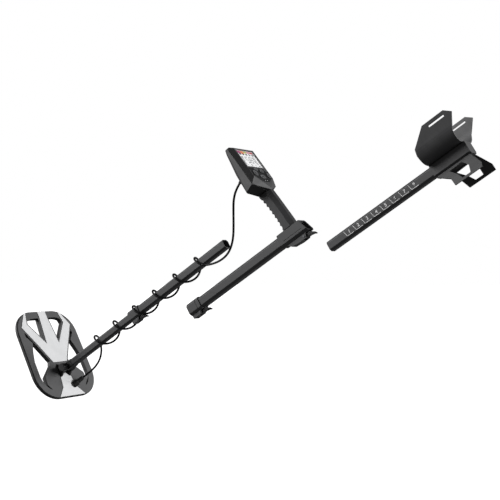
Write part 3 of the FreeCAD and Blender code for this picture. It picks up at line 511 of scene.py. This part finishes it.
# ---------------------------------------------------------------- printed and lit marks
FACE_TOP, FACE_FOOT = Vector((-9.5, 0, 249)), Vector((8.7, 0, 132))
FACE_DOWN = (FACE_FOOT - FACE_TOP).normalized()
FACE_OUT = Vector((-FACE_DOWN.z, 0, FACE_DOWN.x))
TUBE_FLAT = 12.0                          # from the rear tube's axis to its flat


def place_on_face(down, right, out):
    """Millimetres down the control box's face, right of its middle and out of it."""
    return stem(*(FACE_TOP + FACE_DOWN * down + Vector((0, right, 0)) + FACE_OUT * out))


def place_on_rear_tube(x, z, out):
    """Millimetres along and up the rear tube's left flat, and out of it."""
    return stem(x, -TUBE_FLAT - out, z, REAR)


def marks(name, outlines, place, low, high, material, body):
    """Thin closed prisms, one per outline, standing from low to high out of a surface."""
    mesh = bmesh.new()
    for outline in outlines:
        foot = [mesh.verts.new(place(u, v, low)) for u, v in outline]
        head = [mesh.verts.new(place(u, v, high)) for u, v in outline]
        count = len(outline)
        mesh.faces.new(foot)
        mesh.faces.new(list(reversed(head)))
        for i in range(count):
            j = (i + 1) % count
            mesh.faces.new((foot[j], foot[i], head[i], head[j]))
    bmesh.ops.recalc_face_normals(mesh, faces=mesh.faces)
    piece = finish_mesh(name, mesh, material)
    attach(piece, body)
    return piece


def bar(u0, u1, v0, v1):
    return [(u0, v0), (u0, v1), (u1, v1), (u1, v0)]


def stroke(a, b, width):
    """A straight line from a to b as a narrow outline."""
    a, b = Vector(a), Vector(b)
    along = (b - a).normalized()
    side = Vector((-along.y, along.x)) * (width / 2)
    end = along * (width / 2)
    return [tuple(p) for p in (a - end + side, a - end - side, b + end - side, b + end + side)]


SEGMENTS = {"a": ((0, 0), (0, 1)), "b": ((0, 1), (1, 1)), "c": ((1, 1), (2, 1)), "d": ((2, 0), (2, 1)),
            "e": ((1, 0), (2, 0)), "f": ((0, 0), (1, 0)), "g": ((1, 0), (1, 1))}
LIT = {"1": "bc", "2": "abged", "3": "abgcd", "4": "fgbc", "5": "afgcd", "6": "afgecd", "7": "abc",
       "8": "abcdefg"}


def segment_digit(digit, down, right, high, wide, width):
    """The lit strokes of a seven-segment digit whose top left corner is at down, right."""
    strokes = []
    for letter in LIT[digit]:
        (d0, r0), (d1, r1) = SEGMENTS[letter]
        a = Vector((down + d0 * high / 2, right + r0 * wide))
        b = Vector((down + d1 * high / 2, right + r1 * wide))
        trim = (b - a).normalized() * width * 0.62
        strokes.append(stroke(a + trim, b - trim, width))
    return strokes


LCD_TOP, LCD_INK = -2.10, -2.03       # the panel's surface, and the top of what it shows, below the face


def make_screen():
    """What the display shows: a black border, colour bands with targets, gauges and a number."""
    def show(name, outlines, material):
        marks(name, outlines, place_on_face, LCD_TOP, LCD_INK, material, "handle_section")

    edge_top, edge_foot, left, right = 5.0, 58.0, -34.6, 34.6
    rim_left, rim_right, rim_foot = 4.2, 2.6, 2.4
    glass_left, glass_right = left + rim_left, right - rim_right
    show("screen_border", [bar(edge_top, edge_foot, left, glass_left),
                           bar(edge_top, edge_foot, glass_right, right),
                           bar(edge_foot - rim_foot, edge_foot, glass_left, glass_right)], INK_BLACK)
    width = (glass_right - glass_left) / len(BANDS)
    band_gap, band_feet = 0.3, (14.5, 14.5, 12.0, 12.0, 12.0)
    icon_down, icon_high, icon_wide = 16, 3.2, 4.4
    six_corners = [2 * math.pi * k / 6 + 0.26 for k in range(6)]
    for i, (band, foot) in enumerate(zip(BANDS, band_feet)):
        low = glass_left + i * width
        show("colour_band_%d" % (i + 1), [bar(edge_top, foot, low + band_gap, low + width - band_gap)], band)
        icon = [(icon_down + icon_high * math.sin(t), low + width / 2 + icon_wide * math.cos(t))
                for t in six_corners]
        show("target_icon_%d" % (i + 1), [icon], INK_BLACK)
    bars = [bar(23.5 + 4.0 * i, 25.6 + 4.0 * i, -29.5, -20.5 - 1.0 * i) for i in range(7)]
    show("depth_bars", bars, INK_GREY)
    digit_size = (18, 9.0, 1.9)           # high, wide, and the width of a stroke
    digits = segment_digit("5", 25, -14, *digit_size) + segment_digit("8", 25, 0.5, *digit_size)
    show("number_segments", digits, INK_GREY)
    frame_lines = [stroke((22, 17), (46, 17), 1.1), stroke((22, 24), (46, 24), 1.1),
                   stroke((22, 18), (22, 23), 1.1), stroke((46, 18), (46, 23), 1.1)]
    frame_lines += [bar(25 + 4 * i, 27 + 4 * i, 19, 22) for i in range(5)]
    show("level_gauge", frame_lines, INK_BLACK)
    foot_marks = [bar(50, 52.2, -26, -22), bar(49.5, 51, -12, -2), bar(52, 53, -10, -4),
                  stroke((49.5, 6), (53, 9), 0.9), stroke((53, 9), (49.5, 12), 0.9), bar(50, 53, 20, 27)]
    show("mode_marks", foot_marks, INK_GREY)


make_screen()

BUTTON_TOP = 1.42                     # the dished middle of a button, out of the face
ICON_HIGH = 0.24


def make_icons():
    """A plain symbol on each button."""
    def ink(name, outlines, body):
        marks(name, outlines, place_on_face, BUTTON_TOP, BUTTON_TOP + ICON_HIGH, INK_BLACK, body)

    ink("menu_icon", [bar(78.1 + 1.8 * i, 78.9 + 1.8 * i, -27.4, -22.6) for i in range(3)], "menu_button")
    ink("light_icon", [stroke((67.9, -14.5), (67.9, -12.3), 0.6), stroke((67.9, -10.7), (67.9, -8.5), 0.6)],
        "light_button")
    ink("up_icon", [[(69.8, 8.5), (73.2, 11.5), (73.2, 5.5)]], "up_button")
    ink("down_icon", [[(92.8, -3.5), (89.4, -6.5), (89.4, -0.5)]], "down_button")
    ink("pinpoint_icon", [stroke((81.7, 26), (87.3, 26), 0.7), stroke((84.5, 23.2), (84.5, 25.6), 0.7),
                          stroke((84.5, 26.4), (84.5, 28.8), 0.7)], "pinpoint_button")
    turn = [math.radians(a) for a in range(35, 326, 29)]
    ring = [(69.5 - 1.9 * math.cos(t), 26.0 + 1.9 * math.sin(t)) for t in turn]
    ink("power_icon", [stroke(a, b, 0.6) for a, b in zip(ring, ring[1:])]
        + [stroke((67.2, 26.0), (69.0, 26.0), 0.6)], "power_button")


make_icons()

TICK_FROM, TICK_PITCH, TICKS = 123.4, 26.1, 8
INK_HIGH = 0.06


def make_tube_scale():
    """The L-shaped length marks and their numbers on the rear tube's left flat."""
    lines = []
    for i in range(TICKS):
        x = TICK_FROM + i * TICK_PITCH
        lines.append(stroke((x, 6.3), (x + 3.4, -5.6), 1.0))
        lines.append(stroke((x + 4.2, -6.2), (x + 21.5, -6.2), 1.0))
    marks("tube_scale_lines", lines, place_on_rear_tube, 0.0, INK_HIGH, INK_WHITE, "rear_section")
    mesh = bmesh.new()
    for i in range(TICKS):
        text = bpy.data.curves.new("digit", "FONT")
        text.body = str(i + 1)
        text.size = 10.5 * MM
        text.extrude = INK_HIGH / 2 * MM
        text.offset = 0.25 * MM
        text.align_x, text.align_y = "CENTER", "CENTER"
        holder = bpy.data.objects.new("digit", text)
        flat = bpy.data.meshes.new_from_object(holder)
        across, up, out = turned(1, 0, 0), turned(0, 0, 1), turned(0, -1, 0)
        origin = place_on_rear_tube(TICK_FROM + i * TICK_PITCH + 13.0, 0.6, INK_HIGH / 2)
        turn = Matrix((across, up, out)).transposed().to_4x4()
        flat.transform(Matrix.Translation(origin) @ turn)
        mesh.from_mesh(flat)
        bpy.data.objects.remove(holder)
        bpy.data.curves.remove(text)
        bpy.data.meshes.remove(flat)
    bmesh.ops.remove_doubles(mesh, verts=mesh.verts, dist=0.000001)
    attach(finish_mesh("tube_scale_numbers", mesh, INK_WHITE), "rear_section")


make_tube_scale()


# ---------------------------------------------------------------- studio
SOFTBOXES = [("left_softbox", 2.55, Vector((-0.72, -0.60, 0.35))),
             ("right_softbox", 2.65, Vector((0.77, 0.54, 0.35)))]
SOFTBOX_ANGLE = 30
FLOOR_GLOW, FLOOR_HALF, FLOOR_DROP = 0.6, 200.0, 0.75     # the drop is below the lowest point
FILL_STRENGTH = 0.12


def make_light(name, strength, towards):
    """A distant softbox that stands in the direction towards."""
    data = bpy.data.lights.new(name, "SUN")
    data.energy = strength
    data.angle = math.radians(SOFTBOX_ANGLE)
    light = bpy.data.objects.new(name, data)
    light.rotation_euler = (-towards).to_track_quat("-Z", "Y").to_euler()
    bpy.context.scene.collection.objects.link(light)


def make_studio():
    world = bpy.data.worlds.new("studio")
    bpy.context.scene.world = world
    world.use_nodes = True
    nodes, links = world.node_tree.nodes, world.node_tree.links
    backdrop = nodes["Background"]
    backdrop.inputs["Color"].default_value = (1, 1, 1, 1)
    backdrop.inputs["Strength"].default_value = 1.0
    fill = nodes.new("ShaderNodeBackground")
    fill.inputs["Color"].default_value = (1, 1, 1, 1)
    fill.inputs["Strength"].default_value = FILL_STRENGTH
    seen = nodes.new("ShaderNodeLightPath")
    mix = nodes.new("ShaderNodeMixShader")
    links.new(seen.outputs["Is Camera Ray"], mix.inputs["Fac"])
    links.new(fill.outputs["Background"], mix.inputs[1])
    links.new(backdrop.outputs["Background"], mix.inputs[2])
    links.new(mix.outputs["Shader"], nodes["World Output"].inputs["Surface"])

    mesh = bmesh.new()
    bmesh.ops.create_grid(mesh, x_segments=1, y_segments=1, size=FLOOR_HALF)
    pale, *_, pale_surface = shader("pale_floor", (0.97, 0.97, 0.97), 0.9)
    pale_surface.inputs["Specular IOR Level"].default_value = 0.0
    pale_surface.inputs["Emission Color"].default_value = (1, 1, 1, 1)
    pale_surface.inputs["Emission Strength"].default_value = FLOOR_GLOW
    floor = finish_mesh("floor", mesh, pale)
    floor.location = (0, 0, CAD_BOX[0].z - FLOOR_DROP)
    floor.visible_diffuse = False
    floor.visible_glossy = False

    for name, strength, towards in SOFTBOXES:
        make_light(name, strength, towards)
    bpy.context.scene.view_settings.view_transform = "Standard"
    bpy.context.scene.view_settings.look = "None"


make_studio()
